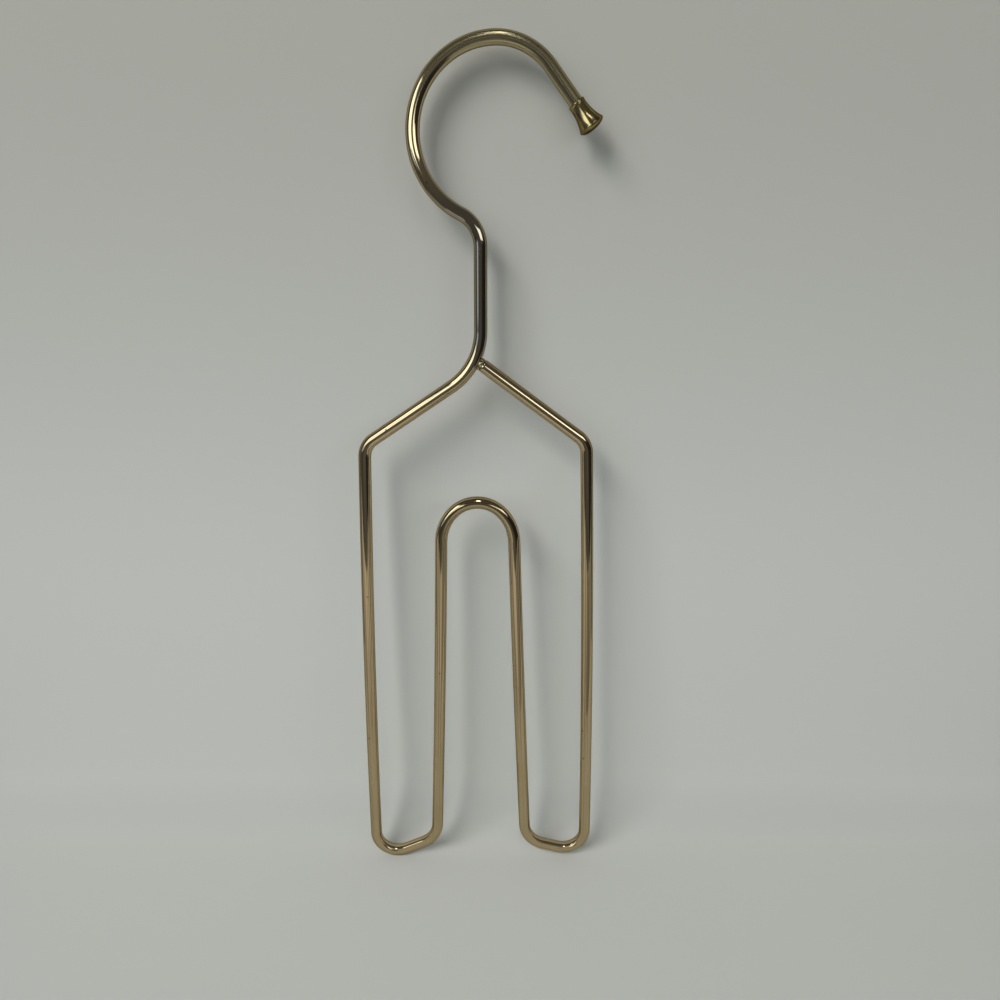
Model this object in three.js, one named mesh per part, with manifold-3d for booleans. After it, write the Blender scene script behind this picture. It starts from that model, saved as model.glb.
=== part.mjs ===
// Wire hanger with a two-legged frame: one gold wire bent in a plane, welded at the neck, its hook tip capped.
// Millimetres, +Z up as it hangs, front towards -Y, origin where a rod bears inside the top of the hook.
import * as THREE from 'three';
import { mergeVertices } from 'three/addons/utils/BufferGeometryUtils.js';
import Module from 'manifold-3d';

const wasm = await Module();
wasm.setup();
const degrees = THREE.MathUtils.degToRad;

// Wire
const wireRadius = 2.2;
const wireSides = 16;
const bendStep = degrees(6);

// Hook: a wide back, a tighter front, a straight tip, and an S-bend down to the neck
const hookRadius = 25.9;
const hookFrontRadius = 20.9;
const hookFrontEnd = degrees(38.9);
const tipLength = 12.3;
const tipInCap = 5.1;
const sBendRadius = 11;
const neckX = -5.1;

// Corners of the frame, as [x, z] where its straight runs would meet, and the bend radius at each
const neckFoot = new THREE.Vector2(neckX, -95.1);
const leftShoulder = new THREE.Vector2(-45.6, -122.5);
const leftOuterFoot = new THREE.Vector2(-49.1, -300.8);
const leftInnerFoot = new THREE.Vector2(-23.6, -289);
const rightInnerFoot = new THREE.Vector2(12.75, -290.2);
const rightOuterFoot = new THREE.Vector2(37.6, -296.7);
const rightShoulder = new THREE.Vector2(31.6, -121.1);
const shoulderEnd = new THREE.Vector2(-4.2, -94.8);
const neckBendRadius = 22.5;
const shoulderBendRadius = 7.6;
const outerFootRadius = 8.8;
const innerFootRadius = 10.3;

// Bow of the long legs, to the right of the wire's way round: outer legs outwards, inner legs together
const outerLegBow = 0.55;
const innerLegBow = 0.22;
const bowSteps = 6;

// Arch between the inner legs, a little steeper than a half circle
const archLeft = new THREE.Vector2(-19.6, -158);
const archRight = new THREE.Vector2(6.85, -158);
const archRise = 14.9;
const roundness = 0.5523;

// Cap on the hook's tip, measured from its collar along its axis
const capBoreRadius = 2.34;
const capBoreDepth = 5.4;
const capLipRadius = 2.72;
const capWaistRadius = 2.6;
const capRimRadius = 4.16;
const capRimAt = 8;
const capLength = 9.45;
const capSides = 40;

// Weld at the neck, a lump round the axis of the right shoulder
const weldRadius = 2.75;
const weldOverShoulder = 1.1;
const weldOverNeck = 3.2;
const weldGap = 0.2;
const weldSides = 28;

const gold = { color: 0xc3b18b, metalness: 1, roughness: 0.22 };
const capGold = { color: 0xc3ae7c, metalness: 1, roughness: 0.18 };
const weldMetal = { color: 0x7c6f5e, metalness: 1, roughness: 0.5 };

// A run from the path's end to a point, straight or with a slight bow to its right
function runTo(path, end, bow = 0) {
  if (bow === 0) {
    path.lineTo(end.x, end.y);
    return;
  }
  const run = end.clone().sub(path.currentPoint);
  const middle = path.currentPoint.clone().addScaledVector(run, 0.5);
  const pull = new THREE.Vector2(run.y, -run.x).setLength(2 * bow).add(middle);
  path.quadraticCurveTo(pull.x, pull.y, end.x, end.y);
}

// A run from the path's end to a corner, and a bend round that corner towards the next one
function bendRound(path, corner, next, radius, bow = 0) {
  const back = path.currentPoint.clone().sub(corner).normalize();
  const onward = next.clone().sub(corner).normalize();
  const half = back.angleTo(onward) / 2;
  const setBack = radius / Math.tan(half);
  const centre = back.clone().add(onward).setLength(radius / Math.sin(half)).add(corner);
  const start = back.clone().multiplyScalar(setBack).add(corner);
  const finish = onward.clone().multiplyScalar(setBack).add(corner);
  const from = start.clone().sub(centre).angle();
  const to = finish.clone().sub(centre).angle();
  runTo(path, start, bow);
  path.absarc(centre.x, centre.y, radius, from, to, back.cross(onward) > 0);
}

// Centre line of the wire in its plane, from inside the cap to the end of the right shoulder
function wirePath(extraLength) {
  const backCentreZ = wireRadius - hookRadius;
  const frontCentreZ = wireRadius - hookFrontRadius;
  const heading = new THREE.Vector2(-Math.sin(hookFrontEnd), Math.cos(hookFrontEnd));
  const frontEnd = new THREE.Vector2(Math.cos(hookFrontEnd), Math.sin(hookFrontEnd));
  frontEnd.multiplyScalar(hookFrontRadius).add(new THREE.Vector2(0, frontCentreZ));
  const tip = frontEnd.clone().addScaledVector(heading, -tipLength - tipInCap);
  const sBendX = neckX - sBendRadius;
  const sBendZ = backCentreZ - Math.sqrt((hookRadius + sBendRadius) ** 2 - sBendX ** 2);
  const touch = Math.atan2(sBendZ - backCentreZ, sBendX);
  const path = new THREE.Path();
  path.moveTo(tip.x, tip.y);
  path.lineTo(frontEnd.x, frontEnd.y);
  path.absarc(0, frontCentreZ, hookFrontRadius, hookFrontEnd, degrees(90), false);
  path.absarc(0, backCentreZ, hookRadius, degrees(90), touch, false);
  path.absarc(sBendX, sBendZ, sBendRadius, touch + Math.PI, 0, true);
  bendRound(path, neckFoot, leftShoulder, neckBendRadius);
  bendRound(path, leftShoulder, leftOuterFoot, shoulderBendRadius);
  bendRound(path, leftOuterFoot, leftInnerFoot, outerFootRadius, outerLegBow);
  bendRound(path, leftInnerFoot, archLeft, innerFootRadius);
  runTo(path, archLeft, innerLegBow);
  drawArch(path);
  bendRound(path, rightInnerFoot, rightOuterFoot, innerFootRadius, innerLegBow);
  bendRound(path, rightOuterFoot, rightShoulder, outerFootRadius);
  bendRound(path, rightShoulder, shoulderEnd, shoulderBendRadius, outerLegBow);
  const end = shoulderEnd.clone().sub(rightShoulder);
  end.setLength(end.length() + extraLength).add(rightShoulder);
  path.lineTo(end.x, end.y);
  return path;
}

// Arch in two quarters, running on from the slant of each inner leg
function drawArch(path) {
  const apex = archLeft.clone().add(archRight).multiplyScalar(0.5);
  const reach = roundness * (archRight.x - archLeft.x) / 2;
  const up = archLeft.clone().sub(leftInnerFoot).setLength(roundness * archRise).add(archLeft);
  const down = archRight.clone().sub(rightInnerFoot).setLength(roundness * archRise).add(archRight);
  apex.y += archRise;
  path.bezierCurveTo(up.x, up.y, apex.x - reach, apex.y, apex.x, apex.y);
  path.bezierCurveTo(apex.x + reach, apex.y, down.x, down.y, archRight.x, archRight.y);
}

// Route with stations at the ends of straight runs and along the bows and bends
class WireRoute extends THREE.Curve {
  constructor(path) {
    super();
    this.stations = [];
    for (const run of path.curves.filter((curve) => curve.getLength() > 0.001)) {
      const turn = run.getTangent(0).angleTo(run.getTangent(1));
      const fewest = run.isQuadraticBezierCurve ? bowSteps : 1;
      const steps = Math.max(fewest, Math.ceil(turn / bendStep));
      for (let i = this.stations.length ? 1 : 0; i <= steps; i++) {
        this.stations.push({ point: run.getPoint(i / steps), tangent: run.getTangent(i / steps) });
      }
    }
  }

  get steps() {
    return this.stations.length - 1;
  }

  getPointAt(u) {
    const { point } = this.stations[Math.round(u * this.steps)];
    return new THREE.Vector3(point.x, 0, point.y);
  }

  getTangentAt(u) {
    const { tangent } = this.stations[Math.round(u * this.steps)];
    return new THREE.Vector3(tangent.x, 0, tangent.y);
  }

  getPoint(t) {
    return this.getPointAt(t);
  }
}

// Round bar of the given radius along a route
function sweepRound(path, radius) {
  const route = new WireRoute(path);
  const section = new THREE.Shape().absarc(0, 0, radius, 0, 2 * Math.PI, false);
  const options = { steps: route.steps, extrudePath: route, curveSegments: wireSides / 2 };
  return new THREE.ExtrudeGeometry(section, options);
}

// Trumpet-shaped cap turned about Y, its collar at the origin, with a blind bore for the wire
function capGeometry() {
  const profile = new THREE.Path();
  profile.moveTo(0, capBoreDepth);
  profile.lineTo(capBoreRadius, capBoreDepth);
  profile.lineTo(capBoreRadius, 0);
  profile.lineTo(capLipRadius - 0.2, 0);
  profile.quadraticCurveTo(capLipRadius, 0, capLipRadius, 0.35);
  profile.quadraticCurveTo(capLipRadius, 0.8, capWaistRadius, 1);
  profile.bezierCurveTo(capWaistRadius, capRimAt / 2, 3.3, capRimAt - 1.7, capRimRadius - 0.1, capRimAt - 0.3);
  profile.quadraticCurveTo(capRimRadius + 0.1, capRimAt, capRimRadius - 0.15, capRimAt + 0.35);
  profile.quadraticCurveTo(capRimRadius * 0.62, capLength, 0, capLength);
  const points = profile.getPoints(6).filter((p, i, all) => i === 0 || p.distanceTo(all[i - 1]) > 0.01);
  points[points.length - 1].x = 0;
  return new THREE.LatheGeometry(points, capSides);
}

// Lump turned about Y, with the end of the shoulder at the origin and the neck above it
function weldLump() {
  const lump = new THREE.Path();
  lump.moveTo(0, -weldOverShoulder - 0.3);
  lump.lineTo(wireRadius + weldGap, -weldOverShoulder - 0.3);
  lump.quadraticCurveTo(weldRadius, -weldOverShoulder, weldRadius, 0.2);
  lump.quadraticCurveTo(weldRadius, 1.5, weldRadius * 0.8, 2.1);
  lump.quadraticCurveTo(weldRadius * 0.5, weldOverNeck, 0, weldOverNeck);
  const points = lump.getPoints(6).filter((p, i, all) => i === 0 || p.distanceTo(all[i - 1]) > 0.01);
  points[points.length - 1].x = 0;
  return new THREE.LatheGeometry(points, weldSides);
}

function toManifold(geometry) {
  const bare = geometry.clone();
  bare.deleteAttribute('normal');
  bare.deleteAttribute('uv');
  const merged = mergeVertices(bare, 1e-4);
  const vertProperties = new Float32Array(merged.attributes.position.array);
  const triVerts = new Uint32Array(merged.index.array);
  return new wasm.Manifold(new wasm.Mesh({ numProp: 3, vertProperties, triVerts }));
}

function fromManifold(solid) {
  const mesh = solid.getMesh();
  const geometry = new THREE.BufferGeometry();
  geometry.setAttribute('position', new THREE.BufferAttribute(new Float32Array(mesh.vertProperties), 3));
  geometry.setIndex(new THREE.BufferAttribute(new Uint32Array(mesh.triVerts), 1));
  geometry.computeVertexNormals();
  return geometry;
}

function addMesh(group, name, geometry, finish) {
  const mesh = new THREE.Mesh(geometry, new THREE.MeshStandardMaterial(finish));
  mesh.name = name;
  group.add(mesh);
  return mesh;
}

// Turns a shape made about Y to a direction in the wire's plane and sets it at a point there
function aim(shape, point, direction) {
  shape.quaternion.setFromUnitVectors(new THREE.Vector3(0, 1, 0), new THREE.Vector3(direction.x, 0, direction.y));
  shape.position.set(point.x, 0, point.y);
}

const hanger = new THREE.Group();
const path = wirePath(0);
addMesh(hanger, 'bent_wire', sweepRound(path, wireRadius), gold);

const tip = path.getPoint(0);
const tipHeading = path.curves[0].getTangent(0).negate();
const collar = tip.clone().addScaledVector(tipHeading, -tipInCap);
const cap = addMesh(hanger, 'hook_tip_cap', capGeometry(), capGold);
aim(cap, collar, tipHeading);

const shoulderHeading = shoulderEnd.clone().sub(rightShoulder).normalize();
const lump = new THREE.Object3D();
aim(lump, shoulderEnd, shoulderHeading);
lump.updateMatrix();
const lumpInPlace = weldLump().applyMatrix4(lump.matrix);
const wireSpace = toManifold(sweepRound(wirePath(weldGap), wireRadius + weldGap));
const weld = toManifold(lumpInPlace).subtract(wireSpace);
addMesh(hanger, 'neck_weld', fromManifold(weld), weldMetal);

export default hanger;
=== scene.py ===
# %% [markdown]
# # A hanger bent from gold wire
# The real object is one length of round wire with a bright gold plate. It is bent into the hook, the neck,
# two sloping shoulders, two long loops and the arch between them. The free end is welded to the neck, and a
# little flared cap covers the tip of the hook. This lesson dresses that hanger in Blender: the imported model
# gives its place and size, and finer meshes with plated-metal finishes stand for its three pieces.

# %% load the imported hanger
import math
import bmesh
import bpy
from mathutils import Matrix, Vector, geometry, noise


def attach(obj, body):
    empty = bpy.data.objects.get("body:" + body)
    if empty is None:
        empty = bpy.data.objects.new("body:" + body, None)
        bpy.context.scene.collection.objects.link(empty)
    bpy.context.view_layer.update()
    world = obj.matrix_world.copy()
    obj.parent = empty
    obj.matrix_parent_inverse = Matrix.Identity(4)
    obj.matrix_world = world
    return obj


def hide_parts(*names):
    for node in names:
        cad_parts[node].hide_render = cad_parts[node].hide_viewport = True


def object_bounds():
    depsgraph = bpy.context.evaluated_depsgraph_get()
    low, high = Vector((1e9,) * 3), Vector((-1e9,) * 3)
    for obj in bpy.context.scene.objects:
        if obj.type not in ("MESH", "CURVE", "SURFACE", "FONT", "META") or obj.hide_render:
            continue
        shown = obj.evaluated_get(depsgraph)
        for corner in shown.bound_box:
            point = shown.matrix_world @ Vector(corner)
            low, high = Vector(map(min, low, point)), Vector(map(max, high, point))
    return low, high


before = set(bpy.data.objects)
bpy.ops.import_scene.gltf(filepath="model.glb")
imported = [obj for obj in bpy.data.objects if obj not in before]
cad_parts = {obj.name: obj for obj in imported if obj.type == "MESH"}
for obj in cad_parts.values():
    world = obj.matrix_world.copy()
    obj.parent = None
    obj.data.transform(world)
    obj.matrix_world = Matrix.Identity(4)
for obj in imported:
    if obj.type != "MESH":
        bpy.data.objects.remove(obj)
cad_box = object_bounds()
MM = 0.001
print("pieces to dress:", sorted(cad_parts))

# %% [markdown]
# ## The camera
# The hanger is seen from in front and a little above, quite close, so its hook looks wider than its feet.
# A camera is easiest to place from its target: step back along the line of sight, then tip and roll.

# %% camera in front of the hanger
TARGET = Vector((1.6, 0, -142.1)) * MM
DISTANCE = 267 * MM
TILT = math.radians(17.84)
ROLL = math.radians(0.31)
LENS = 27.04
SENSOR = 36
NEAREST = 0.01

camera_data = bpy.data.cameras.new("front_camera")
camera_data.sensor_width = SENSOR
camera_data.lens = LENS
camera_data.clip_start = NEAREST
camera = bpy.data.objects.new("front_camera", camera_data)
line_of_sight = Matrix.Rotation(math.pi / 2 - TILT, 4, "X") @ Matrix.Rotation(ROLL, 4, "Z")
camera.matrix_world = Matrix.Translation(TARGET) @ line_of_sight @ Matrix.Translation((0, 0, DISTANCE))
bpy.context.collection.objects.link(camera)
bpy.context.scene.camera = camera
bpy.context.scene.view_settings.view_transform = "Standard"
print("camera stands at", [round(c, 4) for c in camera.matrix_world.translation])

# %% [markdown]
# ## The route of the wire
# A wire bender thinks in straight runs and bends. The route is drawn the same way, flat in the XZ plane and
# in millimetres: each corner is where two straight runs would meet, and a bend of a known radius rounds it.
# A Bezier curve through the corners would be quicker to draw, but its bends would not be true arcs.

# %% helpers that draw straight runs and bends
BEND_STEP = 2.5
STRAIGHT_STEP = 4.0


def run_to(route, end, bow=0.0):
    """Adds a run with a point every few millimetres, straight or bowed a little to its right."""
    start = route[-1].copy()
    run = end - start
    right = Vector((run.y, -run.x)).normalized()
    steps = max(1, round(run.length / STRAIGHT_STEP))
    for i in range(1, steps + 1):
        t = i / steps
        route.append(start + t * run + 4 * bow * t * (1 - t) * right)


def add_arc(route, centre, radius, start, turn):
    """Adds an arc from an angle in degrees, turning left when turn is positive."""
    steps = max(2, math.ceil(abs(turn) / BEND_STEP))
    for i in range(1, steps + 1):
        angle = math.radians(start + turn * i / steps)
        route.append(centre + radius * Vector((math.cos(angle), math.sin(angle))))


def bend_round(route, corner, onward, radius, bow=0.0):
    """Adds a run towards a corner and a bend round it towards the next corner."""
    back = (route[-1] - corner).normalized()
    ahead = (onward - corner).normalized()
    half = back.angle(ahead) / 2
    centre = corner + (back + ahead).normalized() * radius / math.sin(half)
    start = corner + back * radius / math.tan(half)
    run_to(route, start, bow)
    spoke = start - centre
    turn = 180 - math.degrees(2 * half)
    side = -1 if back.cross(ahead) > 0 else 1
    add_arc(route, centre, radius, math.degrees(math.atan2(spoke.y, spoke.x)), side * turn)


print("a point every", BEND_STEP, "degrees of bend and about every", STRAIGHT_STEP, "mm of straight run")

# %% [markdown]
# ### The hook and the neck
# The hook has a wide back and a tighter front, so it is two arcs that meet at the top, where the rod bears.
# Below it a short S-bend brings the wire back under the hook and into the straight neck.

# %% hook, S-bend and neck
WIRE_RADIUS = 2.2
HOOK_RADIUS = 25.9
HOOK_FRONT_RADIUS = 20.9
HOOK_FRONT_END = 38.9
TIP_LENGTH = 12.3
TIP_IN_CAP = 5.1
S_BEND_RADIUS = 11.0
NECK_X = -5.1

hook_centre = Vector((0, WIRE_RADIUS - HOOK_RADIUS))
front_centre = Vector((0, WIRE_RADIUS - HOOK_FRONT_RADIUS))
front_angle = math.radians(HOOK_FRONT_END)
front_end = front_centre + HOOK_FRONT_RADIUS * Vector((math.cos(front_angle), math.sin(front_angle)))
tip_heading = Vector((math.sin(front_angle), -math.cos(front_angle)))
collar = front_end + TIP_LENGTH * tip_heading

s_bend_x = NECK_X - S_BEND_RADIUS
s_bend_drop = math.sqrt((HOOK_RADIUS + S_BEND_RADIUS) ** 2 - s_bend_x ** 2)
s_bend_centre = Vector((s_bend_x, hook_centre.y - s_bend_drop))
touch = math.degrees(math.atan2(-s_bend_drop, s_bend_x)) % 360

route = [collar + TIP_IN_CAP * tip_heading]
run_to(route, front_end)
add_arc(route, front_centre, HOOK_FRONT_RADIUS, HOOK_FRONT_END, 90 - HOOK_FRONT_END)
add_arc(route, hook_centre, HOOK_RADIUS, 90, touch - 90)
add_arc(route, s_bend_centre, S_BEND_RADIUS, touch - 180, 180 - touch)
print("hook:", len(route), "points, neck starts at z =", round(route[-1].y, 1), "mm")

# %% [markdown]
# ### The frame
# From the neck the wire runs down the left shoulder, round the left loop, over the arch, round the right loop
# and up the right shoulder. The two loops differ a little, so each has its own corners. The last step is a
# short one, so that the wire's shine stays straight right up to its melted end.

# %% shoulders, loops and arch
NECK_FOOT = Vector((NECK_X, -95.1))
LEFT_SHOULDER = Vector((-45.6, -122.5))
LEFT_OUTER_FOOT = Vector((-49.1, -300.8))
LEFT_INNER_FOOT = Vector((-23.6, -289))
RIGHT_INNER_FOOT = Vector((12.75, -290.2))
RIGHT_OUTER_FOOT = Vector((37.6, -296.7))
RIGHT_SHOULDER = Vector((31.6, -121.1))
SHOULDER_END = Vector((-4.2, -94.8))
NECK_BEND_RADIUS = 22.5
SHOULDER_BEND_RADIUS = 7.6
OUTER_FOOT_RADIUS = 8.8
INNER_FOOT_RADIUS = 10.3
OUTER_LEG_BOW = 0.55
INNER_LEG_BOW = 0.22
LAST_STEP = 0.4

ARCH_LEFT = Vector((-19.6, -158))
ARCH_RIGHT = Vector((6.85, -158))
ARCH_RISE = 14.9
ARCH_POINTS = 37
ROUNDNESS = 0.5523


def add_arch(route):
    """Adds the arch in two quarters that run on from the slant of each inner leg."""
    apex = (ARCH_LEFT + ARCH_RIGHT) / 2 + Vector((0, ARCH_RISE))
    reach = Vector((ROUNDNESS * (ARCH_RIGHT.x - ARCH_LEFT.x) / 2, 0))
    up = ARCH_LEFT + (ARCH_LEFT - LEFT_INNER_FOOT).normalized() * ROUNDNESS * ARCH_RISE
    down = ARCH_RIGHT + (ARCH_RIGHT - RIGHT_INNER_FOOT).normalized() * ROUNDNESS * ARCH_RISE
    route.extend(geometry.interpolate_bezier(ARCH_LEFT, up, apex - reach, apex, ARCH_POINTS)[1:])
    route.extend(geometry.interpolate_bezier(apex, apex + reach, down, ARCH_RIGHT, ARCH_POINTS)[1:])


bend_round(route, NECK_FOOT, LEFT_SHOULDER, NECK_BEND_RADIUS)
bend_round(route, LEFT_SHOULDER, LEFT_OUTER_FOOT, SHOULDER_BEND_RADIUS)
bend_round(route, LEFT_OUTER_FOOT, LEFT_INNER_FOOT, OUTER_FOOT_RADIUS, OUTER_LEG_BOW)
bend_round(route, LEFT_INNER_FOOT, ARCH_LEFT, INNER_FOOT_RADIUS)
run_to(route, ARCH_LEFT, INNER_LEG_BOW)
add_arch(route)
bend_round(route, RIGHT_INNER_FOOT, RIGHT_OUTER_FOOT, INNER_FOOT_RADIUS, INNER_LEG_BOW)
bend_round(route, RIGHT_OUTER_FOOT, RIGHT_SHOULDER, OUTER_FOOT_RADIUS)
bend_round(route, RIGHT_SHOULDER, SHOULDER_END, SHOULDER_BEND_RADIUS, OUTER_LEG_BOW)
shoulder_heading = (SHOULDER_END - RIGHT_SHOULDER).normalized()
run_to(route, SHOULDER_END - LAST_STEP * shoulder_heading)
run_to(route, SHOULDER_END)
wire_length = sum((b - a).length for a, b in zip(route, route[1:]))
print("wire route:", len(route), "points,", round(wire_length), "mm of wire")

# %% [markdown]
# ## The bent wire
# A ring of points is set square to the route at every station and joined to the next ring. A bevelled curve
# gives the same tube, but a mesh can also carry, at each point, how far round the wire and how far along it
# the point lies. The finish needs that later, because drawn wire has fine lines along its length.
# The free end closes in three smaller rings, as if the weld's heat had rounded it.

# %% sweep the wire
WIRE_SIDES = 40
MELTED_END = ((0.4, 2.08), (0.75, 1.75), (1.0, 1.2))


def new_object(name, bm):
    """Turns a bmesh into an object in the scene."""
    mesh = bpy.data.meshes.new(name)
    bm.to_mesh(mesh)
    bm.free()
    made = bpy.data.objects.new(name, mesh)
    bpy.context.collection.objects.link(made)
    return made


def new_piece(name, bm):
    """Turns a bmesh into an object whose faces all face out."""
    bmesh.ops.recalc_face_normals(bm, faces=bm.faces)
    return new_object(name, bm)


def in_plane(point):
    """A point of the flat route, in metres in the hanger's frame."""
    return Vector((point.x, 0, point.y)) * MM


def add_ring(bm, grain, point, tangent, radius, travelled):
    """Adds a ring of points square to the route; each notes how far round and along the wire it lies."""
    across = Vector((-tangent.y, 0, tangent.x))
    ring = []
    for k in range(WIRE_SIDES):
        angle = 2 * math.pi * k / WIRE_SIDES
        c, s = math.cos(angle), math.sin(angle)
        vert = bm.verts.new(in_plane(point) + radius * MM * (c * across + s * Vector((0, 1, 0))))
        vert[grain] = (c, s, travelled * MM)
        ring.append(vert)
    return ring


def sweep_wire(name, route, radius):
    """Sweeps a ring along the route; only the two end faces keep a sharp edge."""
    bm = bmesh.new()
    grain = bm.verts.layers.float_vector.new("wire_grain")
    rings = []
    travelled = 0.0
    for i, point in enumerate(route):
        before = route[max(i - 1, 0)]
        after = route[min(i + 1, len(route) - 1)]
        travelled += (point - before).length
        tangent = (after - before).normalized()
        rings.append(add_ring(bm, grain, point, tangent, radius, travelled))
    for ahead, smaller in MELTED_END:
        rings.append(add_ring(bm, grain, route[-1] + ahead * tangent, tangent, smaller, travelled + ahead))
    for ring, following in zip(rings, rings[1:]):
        for k in range(WIRE_SIDES):
            beside = (k + 1) % WIRE_SIDES
            bm.faces.new((ring[k], ring[beside], following[beside], following[k])).smooth = True
    for ring in (rings[0], rings[-1]):
        for edge in bm.faces.new(ring).edges:
            edge.smooth = False
    return new_piece(name, bm)


bent_wire = sweep_wire("bent_wire_fine", route, WIRE_RADIUS)
print("bent wire:", len(bent_wire.data.polygons), "faces")

# %% [markdown]
# ## The cap on the hook's tip
# The cap is a small turned or pressed trumpet: a rolled lip where the wire goes in, a waist, a flare and a
# low domed end. A lathe makes such a shape, so half of its outline is drawn once and spun about the wire's
# axis. Each curve of the outline is a start, two handles and an end, as radius and distance from the lip in
# millimetres.

# %% spin the cap
CAP_BORE = ((0, 5.4), (2.22, 5.4), (2.22, 0.15))
CAP_LIP = ((2.32, 0), (2.52, -0.02), (2.72, 0.1), (2.72, 0.4))
CAP_WAIST = ((2.72, 0.4), (2.72, 0.75), (2.6, 0.7), (2.6, 1.0))
CAP_FLARE = ((2.6, 1.0), (2.6, 4.0), (3.3, 6.3), (4.04, 7.7))
CAP_RIM = ((4.04, 7.7), (4.19, 7.95), (4.14, 8.2), (3.99, 8.35))
CAP_DOME = ((3.99, 8.35), (3.2, 9.2), (1.7, 9.45), (0, 9.45))
CURVE_POINTS = 9
FLARE_POINTS = 27
CAP_STEPS = 72
SAME_POINT = 1e-6


def upright(corners):
    """Points of an outline that stands in the XZ plane."""
    return [Vector((radius, 0, height)) for radius, height in corners]


def cap_outline():
    """Half of the cap's section, from the bottom of the bore over the lip and the flare to the domed end."""
    outline = upright(CAP_BORE)
    outline += geometry.interpolate_bezier(*upright(CAP_LIP), CURVE_POINTS)
    outline += geometry.interpolate_bezier(*upright(CAP_WAIST), CURVE_POINTS)[1:]
    outline += geometry.interpolate_bezier(*upright(CAP_FLARE), FLARE_POINTS)[1:]
    outline += geometry.interpolate_bezier(*upright(CAP_RIM), CURVE_POINTS)[1:]
    outline += geometry.interpolate_bezier(*upright(CAP_DOME), CURVE_POINTS)[1:]
    return outline


def spin_outline(name, outline, steps):
    """Spins an outline once round the Z axis."""
    bm = bmesh.new()
    verts = [bm.verts.new(p * MM) for p in outline]
    edges = [bm.edges.new(pair) for pair in zip(verts, verts[1:])]
    bmesh.ops.spin(bm, geom=verts + edges, axis=(0, 0, 1), cent=(0, 0, 0), steps=steps, angle=2 * math.pi)
    bmesh.ops.remove_doubles(bm, verts=bm.verts, dist=SAME_POINT)
    for face in bm.faces:
        face.smooth = True
    return new_piece(name, bm)


tip_cap = spin_outline("hook_tip_cap_fine", cap_outline(), CAP_STEPS)
tip_turn = in_plane(tip_heading).normalized().to_track_quat("Z", "Y").to_matrix().to_4x4()
tip_cap.data.transform(Matrix.Translation(in_plane(collar)) @ tip_turn)
print("tip cap:", len(tip_cap.data.polygons), "faces")

# %% [markdown]
# ## The weld at the neck
# Where the right shoulder comes back to the neck, a drop of braze closes the joint. It froze as it ran, so it
# is a lump of drops with no clean outline. A few balls are set along the joint, fused by a voxel remesh,
# smoothed, and roughened by noise: quicker and more natural than modelling one lump face by face. Each drop
# is given by how far it lies past the wire's end, above its middle line and behind it, and by its radius, in
# millimetres.

# %% fuse the drops of weld
WELD_DROPS = (
    (0.9, 0.0, 0.0, 1.8),
    (1.1, 0.4, -1.1, 0.8),
    (0.6, -0.5, -1.2, 0.7),
    (1.3, 1.3, -0.3, 0.85),
    (1.2, -1.4, -0.2, 0.9),
    (0.9, 0.2, 1.2, 0.85),
)
DROP_SUBDIVISIONS = 3
WELD_VOXEL = 0.12
WELD_FLOW = 6
WELD_ROUGHNESS = 0.07
WELD_LUMP = 0.9
WELD_RIPPLE = 0.4

shoulder_across = Vector((-shoulder_heading.y, shoulder_heading.x))


def fuse_weld():
    """Fuses the drops into one mesh and roughens it with two sizes of noise."""
    bm = bmesh.new()
    for along, across, depth, radius in WELD_DROPS:
        centre = in_plane(SHOULDER_END + along * shoulder_heading - across * shoulder_across)
        centre.y += depth * MM
        place = Matrix.Translation(centre)
        bmesh.ops.create_icosphere(bm, subdivisions=DROP_SUBDIVISIONS, radius=radius * MM, matrix=place)
    lump = new_piece("weld_drops", bm)
    remesh = lump.modifiers.new("fuse", "REMESH")
    remesh.mode = "VOXEL"
    remesh.voxel_size = WELD_VOXEL * MM
    smooth = lump.modifiers.new("flow", "SMOOTH")
    smooth.iterations = WELD_FLOW
    fused = bpy.data.meshes.new_from_object(lump.evaluated_get(bpy.context.evaluated_depsgraph_get()))
    bpy.data.objects.remove(lump)
    fused.name = "neck_weld_fine"
    for vert in fused.vertices:
        coarse = noise.noise(vert.co / (WELD_LUMP * MM))
        fine = noise.noise(vert.co / (WELD_RIPPLE * WELD_LUMP * MM))
        vert.co += vert.normal * (coarse + WELD_RIPPLE * fine) * WELD_ROUGHNESS * MM
    fused.shade_smooth()
    piece = bpy.data.objects.new("neck_weld_fine", fused)
    bpy.context.collection.objects.link(piece)
    return piece


neck_weld = fuse_weld()
print("neck weld:", len(neck_weld.data.polygons), "faces")

# %% [markdown]
# ## Plated finishes
# A metal's colour is the colour of its reflections, so each finish is a metallic shader whose colour and
# roughness vary a little. On the wire and the cap, a specular tint darkens what the metal mirrors at a slant,
# along its edges. Painted images would need each piece unwrapped; noise read at each point does not.

# %% small helpers for node trees
NOISE_DETAIL = 4.0


def add_node(tree, kind, inputs=None, **settings):
    """Adds a node, sets its properties, and sets or links its inputs by name or number."""
    node = tree.nodes.new(kind)
    for key, value in settings.items():
        setattr(node, key, value)
    for key, value in (inputs or {}).items():
        if isinstance(value, bpy.types.NodeSocket):
            tree.links.new(value, node.inputs[key])
        else:
            node.inputs[key].default_value = value
    return node


def new_finish(name):
    """A new material, with its node tree and its shader."""
    finish = bpy.data.materials.new(name)
    finish.use_nodes = True
    return finish, finish.node_tree, finish.node_tree.nodes["Principled BSDF"]


def mix_colours(tree, factor, first, second):
    return add_node(tree, "ShaderNodeMix", {0: factor, 6: first, 7: second}, data_type="RGBA").outputs[2]


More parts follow.
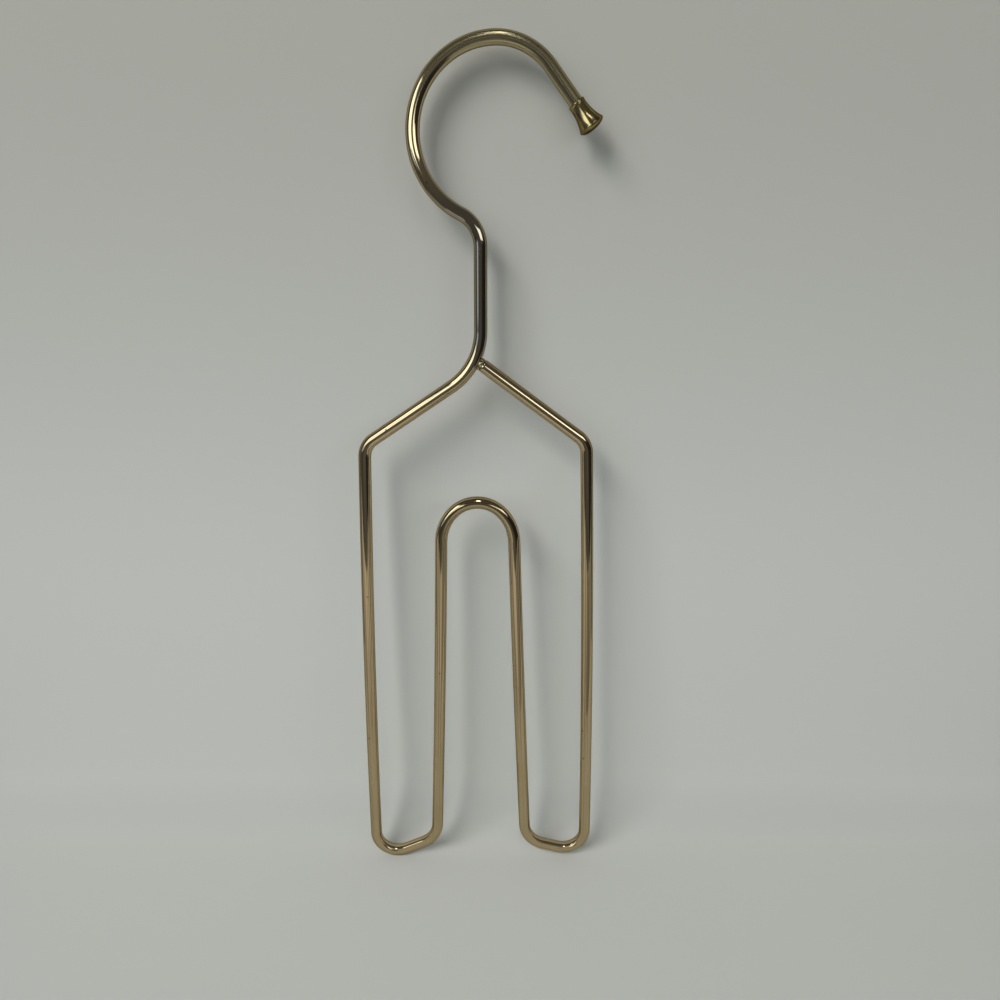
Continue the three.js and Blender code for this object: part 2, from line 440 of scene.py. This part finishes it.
def remap(tree, value, low, high, to_low=0.0, to_high=1.0):
    """Turns one range of values into another, with soft ends."""
    inputs = {"Value": value, "From Min": low, "From Max": high, "To Min": to_low, "To Max": to_high}
    return add_node(tree, "ShaderNodeMapRange", inputs, interpolation_type="SMOOTHSTEP").outputs["Result"]


def times(tree, first, second):
    return add_node(tree, "ShaderNodeMath", {0: first, 1: second}, operation="MULTIPLY").outputs[0]


def position(tree):
    return add_node(tree, "ShaderNodeTexCoord").outputs["Object"]


def axes(tree, vector):
    return add_node(tree, "ShaderNodeSeparateXYZ", {"Vector": vector}).outputs


def noise_in(tree, vector, scale, detail=NOISE_DETAIL):
    inputs = {"Vector": vector, "Scale": scale, "Detail": detail}
    return add_node(tree, "ShaderNodeTexNoise", inputs).outputs["Fac"]


def add_bump(tree, shader, height, strength, distance):
    bump = add_node(tree, "ShaderNodeBump", {"Height": height, "Strength": strength, "Distance": distance})
    tree.links.new(bump.outputs["Normal"], shader.inputs["Normal"])


print("noise detail in the finishes:", NOISE_DETAIL)

# %% [markdown]
# ### The wire's gold
# The plate on the frame is a warm gold. From the tip to just past the top of the hook it is worn: streaks
# that took a brush lie beside streaks that kept their polish. On the S-bend and the neck it is thin and
# greyer. Drawn lines run along the wire, fainter towards the feet, and small dark specks mark where the plate
# has pitted. The lines are noise stretched along the wire, so they follow its bends. Where the plate changes
# is given in metres along the wire, and where the lines fade in metres of height.

# %% gold wire
GOLD = (0.56, 0.44, 0.26, 1)
WORN_GOLD = (0.48, 0.405, 0.235, 1)
THIN_GOLD = (0.38, 0.335, 0.25, 1)
DULL_GOLD = (0.45, 0.35, 0.2, 1)
LINE_GOLD = (0.29, 0.22, 0.12, 1)
SPECK = (0.06, 0.045, 0.03, 1)
EDGE_TINT = (0.42, 0.37, 0.28, 1)
WORN_TO = 0.048
BRIGHT_FROM = 0.07
THIN_FROM = 0.09
THIN_TO = 0.16
THIN_FADE = 0.015
LINE_STRETCH = (5, 5, 7)
LINE_LEVELS = (0.48, 0.6)
LINE_HEIGHTS = (-0.26, -0.21)
LINE_SHARES = (0.3, 0.85)
DULL_SCALE = 60.0
DULL_LEVELS = (0.45, 0.8)
DULL_SHARE = 0.5
PIT_SCALE = 190.0
PIT_SIZES = (0.05, 0.075)
PIT_SHARE = 0.8
POLISH_LEVELS = (0.3, 0.7)
POLISHED = (0.06, 0.1)
BRUSH_LEVELS = (0.4, 0.6)
BRUSHED = (0.08, 0.34)
LINE_DEPTH = 0.0001
WORN_BUMP = 0.9
BRIGHT_BUMP = 0.045


def gold_wire_finish():
    finish, tree, shader = new_finish("gold_wire")
    place = position(tree)
    grain = add_node(tree, "ShaderNodeAttribute", attribute_name="wire_grain").outputs["Vector"]
    along = axes(tree, grain)["Z"]
    drawn = add_node(tree, "ShaderNodeMapping", {"Vector": grain, "Scale": LINE_STRETCH}).outputs["Vector"]
    lines = noise_in(tree, drawn, 1.0)
    patches = noise_in(tree, place, DULL_SCALE)
    pits = add_node(tree, "ShaderNodeTexVoronoi", {"Vector": place, "Scale": PIT_SCALE}).outputs["Distance"]

    worn = remap(tree, along, WORN_TO, BRIGHT_FROM, 1, 0)
    thin_start = remap(tree, along, THIN_FROM, THIN_FROM + THIN_FADE)
    thin_end = remap(tree, along, THIN_TO - THIN_FADE, THIN_TO, 1, 0)
    plate = mix_colours(tree, times(tree, thin_start, thin_end), GOLD, THIN_GOLD)
    plate = mix_colours(tree, worn, plate, WORN_GOLD)
    plate = mix_colours(tree, remap(tree, patches, *DULL_LEVELS, 0, DULL_SHARE), plate, DULL_GOLD)
    line_share = remap(tree, axes(tree, place)["Z"], *LINE_HEIGHTS, *LINE_SHARES)
    plate = mix_colours(tree, times(tree, remap(tree, lines, *LINE_LEVELS), line_share), plate, LINE_GOLD)
    plate = mix_colours(tree, remap(tree, pits, *PIT_SIZES, PIT_SHARE, 0), plate, SPECK)
    tree.links.new(plate, shader.inputs["Base Color"])

    polished = remap(tree, lines, *POLISH_LEVELS, *POLISHED)
    brushed = remap(tree, lines, *BRUSH_LEVELS, *BRUSHED)
    rough = add_node(tree, "ShaderNodeMix", {0: worn, 2: polished, 3: brushed}, data_type="FLOAT").outputs[0]
    tree.links.new(rough, shader.inputs["Roughness"])
    strength = remap(tree, along, WORN_TO, BRIGHT_FROM, WORN_BUMP, BRIGHT_BUMP)
    add_bump(tree, shader, lines, strength, LINE_DEPTH)
    shader.inputs["Metallic"].default_value = 1
    shader.inputs["Specular Tint"].default_value = EDGE_TINT
    return finish


bent_wire.data.materials.append(gold_wire_finish())
print("gold wire: worn up to", WORN_TO, "m, thin from", THIN_FROM, "to", THIN_TO, "m along the wire")

# %% [markdown]
# ### The cap and the weld
# The cap has a deeper, browner plate with cloudy patches. How much darker it is than the wire is partly
# painted shade, and its nearly black edge tint is painted shade, for the shade the cap sits in. The weld is a
# dark crust that took the plate unevenly, so one noise sets its colour, its roughness and its bump together.

# %% cap gold and weld metal
# The cap's plate colour is partly painted shade, and its edge tint is painted shade.
CAP_GOLD_AND_PAINTED_SHADE = (0.4, 0.31, 0.14, 1)
CAP_SHADE = (0.2, 0.145, 0.08, 1)
CAP_EDGE_PAINTED_SHADE = (0.12, 0.09, 0.06, 1)
CAP_PATCH_SCALE = 350.0
CAP_SHADE_LEVELS = (0.45, 0.75)
CAP_ROUGHNESS = (0.13, 0.22)
WELD_DARK = (0.26, 0.205, 0.125, 1)
WELD_PLATED = (0.5, 0.41, 0.26, 1)
CRUST_SCALE = 900.0
CRUST_DETAIL = 5.0
CRUST_LEVELS = (0.42, 0.62)
CRUST_ROUGH_LEVELS = (0.35, 0.65)
CRUST_ROUGHNESS = (0.42, 0.22)
CRUST_BUMP = 0.4
CRUST_DEPTH = 0.0001


def cap_finish():
    finish, tree, shader = new_finish("cap_gold")
    patches = noise_in(tree, position(tree), CAP_PATCH_SCALE)
    # The plate's darkness is partly painted shade; the patches are its own tone.
    plate = mix_colours(tree, remap(tree, patches, *CAP_SHADE_LEVELS), CAP_GOLD_AND_PAINTED_SHADE, CAP_SHADE)
    tree.links.new(plate, shader.inputs["Base Color"])
    tree.links.new(remap(tree, patches, *POLISH_LEVELS, *CAP_ROUGHNESS), shader.inputs["Roughness"])
    shader.inputs["Metallic"].default_value = 1
    # Painted shade along the cap's edges.
    shader.inputs["Specular Tint"].default_value = CAP_EDGE_PAINTED_SHADE
    return finish


def weld_finish():
    finish, tree, shader = new_finish("weld_metal")
    crust = noise_in(tree, position(tree), CRUST_SCALE, CRUST_DETAIL)
    colour = mix_colours(tree, remap(tree, crust, *CRUST_LEVELS), WELD_DARK, WELD_PLATED)
    tree.links.new(colour, shader.inputs["Base Color"])
    tree.links.new(remap(tree, crust, *CRUST_ROUGH_LEVELS, *CRUST_ROUGHNESS), shader.inputs["Roughness"])
    add_bump(tree, shader, crust, CRUST_BUMP, CRUST_DEPTH)
    shader.inputs["Metallic"].default_value = 1
    return finish


tip_cap.data.materials.append(cap_finish())
neck_weld.data.materials.append(weld_finish())
print("finishes:", [piece.data.materials[0].name for piece in (tip_cap, neck_weld)])

# %% [markdown]
# ### Who stands for what
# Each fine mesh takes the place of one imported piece, follows the hanger's one body, and says which finish it
# has.

# %% dress the pieces
PIECES = (
    (bent_wire, "bent_wire", "gold_wire"),
    (tip_cap, "hook_tip_cap", "cap_gold"),
    (neck_weld, "neck_weld", "weld_metal"),
)
for piece, node, slot in PIECES:
    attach(piece, "root")
    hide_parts(node)
    print(piece.name, "stands for", node, "with finish", slot)

# %% [markdown]
# ## The stage
# A sheet of pale paper stands close behind the hanger, leans in towards the hook, and runs forward under the
# feet. A separate wall and floor would show a corner, so its side view is one line with a quarter bend.

# %% shape of the pale sweep
FLOOR_GAP = 0.0003
FLOOR_Z = cad_box[0][2] - FLOOR_GAP
FLOOR_FRONT = -0.3
WALL_FOOT_Y = 0.026
WALL_HEAD_Y = 0.005
WALL_HEAD_Z = 0.03
WALL_TOP = 0.07
SWEEP_CURVE = 0.022
SWEEP_CURVE_STEPS = 12
SWEEP_HALF_WIDTH = 0.24


def sweep_profile():
    """Side view of the sweep: floor, a quarter bend, a wall that leans to the hook, and an upright top."""
    bend_y = WALL_FOOT_Y - SWEEP_CURVE
    bend_z = FLOOR_Z + SWEEP_CURVE
    points = [(FLOOR_FRONT, FLOOR_Z), (bend_y, FLOOR_Z)]
    for i in range(1, SWEEP_CURVE_STEPS + 1):
        angle = math.radians(-90 + 90 * i / SWEEP_CURVE_STEPS)
        points.append((bend_y + SWEEP_CURVE * math.cos(angle), bend_z + SWEEP_CURVE * math.sin(angle)))
    return points + [(WALL_HEAD_Y, WALL_HEAD_Z), (WALL_HEAD_Y, WALL_TOP)]


def pale_sweep():
    """The sheet: its side view drawn at the left and at the right edge, and joined."""
    bm = bmesh.new()
    profile = sweep_profile()
    left = [bm.verts.new((-SWEEP_HALF_WIDTH, y, z)) for y, z in profile]
    right = [bm.verts.new((SWEEP_HALF_WIDTH, y, z)) for y, z in profile]
    for i in range(len(profile) - 1):
        bm.faces.new((left[i], right[i], right[i + 1], left[i + 1])).smooth = True
    return new_object("pale_sweep", bm)


sweep = pale_sweep()
print("floor at z =", round(FLOOR_Z, 4), "wall foot at y =", WALL_FOOT_Y)

# %% [markdown]
# ### Its paper
# The paper's colour carries painted shade: it is darker towards the head, as if the lamp reached it less, and
# darker at the bend, to hold back the light that would pool there. Seen from behind, the sheet lets the camera
# through, and it throws no shadow, so the hanger can be looked at from every side.

# %% paper of the sweep
# The head and bend colours below are painted shade on the paper.
SWEEP_COLOUR = (0.54, 0.54, 0.503, 1)
SWEEP_HEAD_PAINTED_SHADE = (0.39, 0.384, 0.34, 1)
SWEEP_BEND_PAINTED_SHADE = (0.44, 0.44, 0.41, 1)
SWEEP_HEAD_SHADE_HEIGHTS = (-0.2, 0.02)
SWEEP_BEND_TILT = -0.5
PAPER_ROUGHNESS = 0.9
PAPER_SHINE = 0.1


def hide_from(thing, *rays):
    """Hides an object from some kinds of ray, such as camera or shadow rays."""
    for ray in rays:
        setattr(thing, "visible_" + ray, False)


def paper(tree, shader, shade, clear_share):
    """Dull paper of a given shade, see-through where clear_share is 1."""
    tree.links.new(shade, shader.inputs["Base Color"])
    shader.inputs["Roughness"].default_value = PAPER_ROUGHNESS
    shader.inputs["Specular IOR Level"].default_value = PAPER_SHINE
    clear = add_node(tree, "ShaderNodeBsdfTransparent").outputs[0]
    mix = add_node(tree, "ShaderNodeMixShader", {0: clear_share, 1: shader.outputs[0], 2: clear})
    tree.links.new(mix.outputs[0], tree.nodes["Material Output"].inputs["Surface"])


def sweep_finish():
    finish, tree, shader = new_finish("pale_sweep")
    height = axes(tree, position(tree))["Z"]
    # Painted shade: the paper darkens towards the head, and below also at the bend.
    shade = mix_colours(tree, remap(tree, height, *SWEEP_HEAD_SHADE_HEIGHTS), SWEEP_COLOUR, SWEEP_HEAD_PAINTED_SHADE)
    surface = add_node(tree, "ShaderNodeNewGeometry").outputs
    slope = axes(tree, surface["Normal"])
    tilt = times(tree, slope["Y"], slope["Z"])
    bend = {"Value": tilt, "From Min": 0.0, "From Max": SWEEP_BEND_TILT}
    bend_shade_share = add_node(tree, "ShaderNodeMapRange", bend).outputs["Result"]
    shade = mix_colours(tree, bend_shade_share, shade, SWEEP_BEND_PAINTED_SHADE)
    seen = add_node(tree, "ShaderNodeLightPath").outputs["Is Camera Ray"]
    paper(tree, shader, shade, times(tree, seen, surface["Backfacing"]))
    return finish


sweep.data.materials.append(sweep_finish())
hide_from(sweep, "shadow")
print("paper darkens between heights", SWEEP_HEAD_SHADE_HEIGHTS, "m")

# %% [markdown]
# ### The floor beyond the sheet
# A wide floor that only the camera sees goes on beyond the sheet and fades into the background, so the hanger
# stands on something from every side. Its back half has painted light: a paler colour that makes up for the
# sheet sending less light there.

# %% floor beyond the sweep
OUTER_DEPTH = 0.0004
OUTER_RADIUS = 1.3
OUTER_FADE_FROM = 0.35
OUTER_SIDES = 96
# The back colour is painted light, paler where the sheet sends less light.
OUTER_BACK_PAINTED_LIGHT = (0.74, 0.744, 0.686, 1)
OUTER_PAINTED_LIGHT_DEPTHS = (-0.05, 0.02)


def outer_floor():
    """A wide disc just below the sweep, for the camera alone."""
    bm = bmesh.new()
    bmesh.ops.create_circle(bm, cap_ends=True, segments=OUTER_SIDES, radius=OUTER_RADIUS)
    disc = new_object("outer_floor", bm)
    disc.location.z = FLOOR_Z - OUTER_DEPTH
    hide_from(disc, "diffuse", "glossy", "shadow", "transmission")
    return disc


def outer_floor_finish():
    finish, tree, shader = new_finish("outer_floor")
    place = position(tree)
    # Painted light: the floor turns paler towards the back.
    back_light_share = remap(tree, axes(tree, place)["Y"], *OUTER_PAINTED_LIGHT_DEPTHS)
    shade = mix_colours(tree, back_light_share, SWEEP_COLOUR, OUTER_BACK_PAINTED_LIGHT)
    away = add_node(tree, "ShaderNodeVectorMath", {0: place}, operation="LENGTH").outputs["Value"]
    paper(tree, shader, shade, remap(tree, away, OUTER_FADE_FROM, OUTER_RADIUS))
    return finish


beyond = outer_floor()
beyond.data.materials.append(outer_floor_finish())
print("floor reaches", OUTER_RADIUS, "m from the hanger")

# %% [markdown]
# ## Light
# Polished wire shows what stands round it more than its own colour, so glowing cards do most of the work.
# Soft boxes left and right of the camera draw the cream lines along the wire, a strip overhead makes the
# short glints on the bends, and a dimmer bluish card stands for a window. Each card is placed by its direction
# from the hanger, because direction decides where its reflection lies: its corners are azimuth and elevation
# in degrees.

# %% glowing cards
LEFT_CARD = ((-58, 5.5), (-15, 5.5), (-15, 15), (-58, 40))
RIGHT_CARD = ((12, 9), (50, 13), (50, 27), (12, 17))
CEILING_CARD = ((-4, 38), (4, 38), (8, 66), (-8, 66))
WINDOW_CARD = ((-62, -2), (-37, -2), (-37, 4), (-62, 10))
# Name, corners, distance in metres, radiance and colour.
CARDS = (
    ("left_softbox", LEFT_CARD, 1.5, 2.6, (0.9, 1.0, 1.06, 1)),
    ("right_softbox", RIGHT_CARD, 1.1, 2.6, (0.92, 1.0, 1.05, 1)),
    ("ceiling_strip", CEILING_CARD, 1.2, 5.0, (0.95, 1.0, 1.0, 1)),
    ("left_window", WINDOW_CARD, 1.5, 0.8, (0.8, 1.0, 1.3, 1)),
)
hanger_centre = (Vector(cad_box[0]) + Vector(cad_box[1])) / 2


def toward(azimuth, elevation):
    """Direction from the hanger; azimuth 0 is straight in front and grows to the right."""
    az, el = math.radians(azimuth), math.radians(elevation)
    return Vector((math.sin(az) * math.cos(el), -math.cos(az) * math.cos(el), math.sin(el)))


def new_glow(name):
    """A new material that can only glow, with its node tree."""
    glow = bpy.data.materials.new(name)
    glow.use_nodes = True
    tree = glow.node_tree
    tree.nodes.remove(tree.nodes["Principled BSDF"])
    return glow, tree


def add_glow(tree, colour, radiance=1.0):
    light = add_node(tree, "ShaderNodeEmission", {"Color": colour, "Strength": radiance})
    tree.links.new(light.outputs[0], tree.nodes["Material Output"].inputs["Surface"])


def add_card(name, corners, radiance, colour):
    """A card that glows on both sides, lights the stage and shows in the metal, but not to the camera."""
    mesh = bpy.data.meshes.new(name)
    mesh.from_pydata(corners, [], [tuple(range(len(corners)))])
    glow, tree = new_glow(name)
    add_glow(tree, colour, radiance)
    mesh.materials.append(glow)
    card = bpy.data.objects.new(name, mesh)
    hide_from(card, "camera")
    bpy.context.collection.objects.link(card)
    return card


for name, corners, distance, radiance, colour in CARDS:
    places = [hanger_centre + distance * toward(az, el) / math.cos(math.radians(el)) for az, el in corners]
    add_card(name, places, radiance, colour)
print("cards:", [name for name, *rest in CARDS])

# %% [markdown]
# ### A bounce card
# A glowing card leans in front of the feet, standing in for the pale card a photographer would set there, so
# that the lower legs mirror something light: its glow is painted light. An opening at its foot lets the bends
# of the feet mirror the soft boxes. At the upper right a dimmer card takes its place, so the right legs darken
# sooner. Only reflections see both, so neither shades the stage. The outlines are in metres, from the hook's
# middle line and above the floor.

# %% bounce card
BOUNCE_FOOT_Y = -0.045
BOUNCE_LEAN = 0.52
BOUNCE_OUTLINE = (
    (-0.3, 0.001), (-0.046, 0.001), (-0.046, 0.027), (-0.014, 0.04), (0.012, 0.04), (0.012, 0.001),
    (0.3, 0.001), (0.3, 0.03), (0.03, 0.03), (0.03, 0.088), (-0.3, 0.1),
)
# The bounce card's glow is painted light, seen only in reflections.
BOUNCE_RADIANCE = 0.46
BOUNCE_TOP_GAIN = 1.3
BOUNCE_GRADE = (0.02, 0.08)
BOUNCE_COLOUR = (1.0, 0.99, 0.96, 1)
SHADE_OUTLINE = ((0.03, 0.03), (0.3, 0.03), (0.3, 0.088), (0.03, 0.088))
SHADE_RADIANCE = 0.22


def leaning_card(name, outline, radiance):
    """A card that leans away from the feet and is a little brighter towards its top."""
    corners = [(x, BOUNCE_FOOT_Y - BOUNCE_LEAN * up, FLOOR_Z + up) for x, up in outline]
    card = add_card(name, corners, radiance, BOUNCE_COLOUR)
    tree = card.data.materials[0].node_tree
    height = axes(tree, position(tree))["Z"]
    low, high = (FLOOR_Z + up for up in BOUNCE_GRADE)
    graded = remap(tree, height, low, high, radiance, BOUNCE_TOP_GAIN * radiance)
    tree.links.new(graded, tree.nodes["Emission"].inputs["Strength"])
    hide_from(card, "diffuse", "shadow")


leaning_card("bounce_card", BOUNCE_OUTLINE, BOUNCE_RADIANCE)
leaning_card("shaded_card", SHADE_OUTLINE, SHADE_RADIANCE)
print("bounce card", max(up for x, up in BOUNCE_OUTLINE), "m high")

# %% [markdown]
# ### A dark tent
# Everything else in front is a dark tent: polished wire with nothing dark to mirror looks like flat paint.
# The tent's cloth is a little lighter straight ahead and to the left, which grades the dark lines. Only
# reflections see it. Its shades are given from the left, at -1, to the right, at 1.

# %% dark tent
TENT_RADIUS = 2.2
TENT_BACK = 0.9
TENT_SEGMENTS = 64
TENT_RINGS = 32
TENT_SHADES = (
    (-1.0, 0.12), (-0.85, 0.08), (-0.5, 0.07), (-0.05, 0.12), (0.28, 0.1), (0.55, 0.02), (1.0, 0.025),
)
TENT_TINT = (1.1, 1.15, 1.25)
TENT_TOP = (0.1, 0.1, 0.095, 1)
TENT_TOP_HEIGHTS = (0.1, 0.5)


def tent_cloth():
    """Dim glow, graded from left to right and even overhead."""
    cloth, tree = new_glow("dark_tent")
    cloth.cycles.emission_sampling = "NONE"
    place = axes(tree, position(tree))
    span = {"Value": place["X"], "From Min": -TENT_RADIUS, "From Max": TENT_RADIUS}
    across = add_node(tree, "ShaderNodeMapRange", span).outputs["Result"]
    ramp = add_node(tree, "ShaderNodeValToRGB", {"Fac": across})
    stops = ramp.color_ramp.elements
    while len(stops) < len(TENT_SHADES):
        stops.new(0.5)
    for stop, (x, level) in zip(stops, TENT_SHADES):
        stop.position = (x + 1) / 2
        stop.color = (*(level * tint for tint in TENT_TINT), 1)
    overhead = remap(tree, place["Z"], *(share * TENT_RADIUS for share in TENT_TOP_HEIGHTS))
    add_glow(tree, mix_colours(tree, overhead, ramp.outputs["Color"], TENT_TOP))
    return cloth


def dark_tent():
    """A ball round the hanger with its back cut off."""
    bm = bmesh.new()
    bmesh.ops.create_uvsphere(bm, u_segments=TENT_SEGMENTS, v_segments=TENT_RINGS, radius=TENT_RADIUS)
    behind = [face for face in bm.faces if face.calc_center_median().y > TENT_BACK]
    bmesh.ops.delete(bm, geom=behind, context="FACES")
    tent = new_object("dark_tent", bm)
    tent.data.materials.append(tent_cloth())
    tent.location = hanger_centre
    hide_from(tent, "camera", "diffuse", "shadow", "transmission", "volume_scatter")
    return tent


tent = dark_tent()
print("tent:", len(tent.data.polygons), "faces")

# %% [markdown]
# ### Fill and background
# A soft lamp from the upper left lights the sweep and gives the soft shadows. Beyond the sweep the background
# is pale for the camera and for reflections, and dim for everything else, so it adds little light.

# %% fill lamp and world
FILL_RADIANCE = 13.1
FILL_SIZE = 1.0
FILL_DISTANCE = 2.0
FILL_FROM = toward(-38, 36)
PALE = (0.62, 0.62, 0.6, 1)
DIM = (0.12, 0.12, 0.12, 1)

fill_data = bpy.data.lights.new("soft_fill", "AREA")
fill_data.size = FILL_SIZE
fill_data.energy = FILL_RADIANCE * math.pi * FILL_SIZE ** 2
fill = bpy.data.objects.new("soft_fill", fill_data)
fill.location = hanger_centre + FILL_DISTANCE * FILL_FROM
fill.rotation_euler = FILL_FROM.to_track_quat("Z", "Y").to_euler()
hide_from(fill, "camera", "glossy")
bpy.context.collection.objects.link(fill)

world = bpy.data.worlds.new("room")
bpy.context.scene.world = world
world.use_nodes = True
room = world.node_tree
rays = add_node(room, "ShaderNodeLightPath").outputs
seen = rays["Is Camera Ray"]
for kind in ("Is Glossy Ray", "Is Transmission Ray"):
    seen = add_node(room, "ShaderNodeMath", {0: seen, 1: rays[kind]}, operation="MAXIMUM").outputs[0]
room.links.new(mix_colours(room, seen, DIM, PALE), room.nodes["Background"].inputs["Color"])
print("soft fill of", round(fill_data.energy, 1), "W from", [round(c, 2) for c in FILL_FROM])
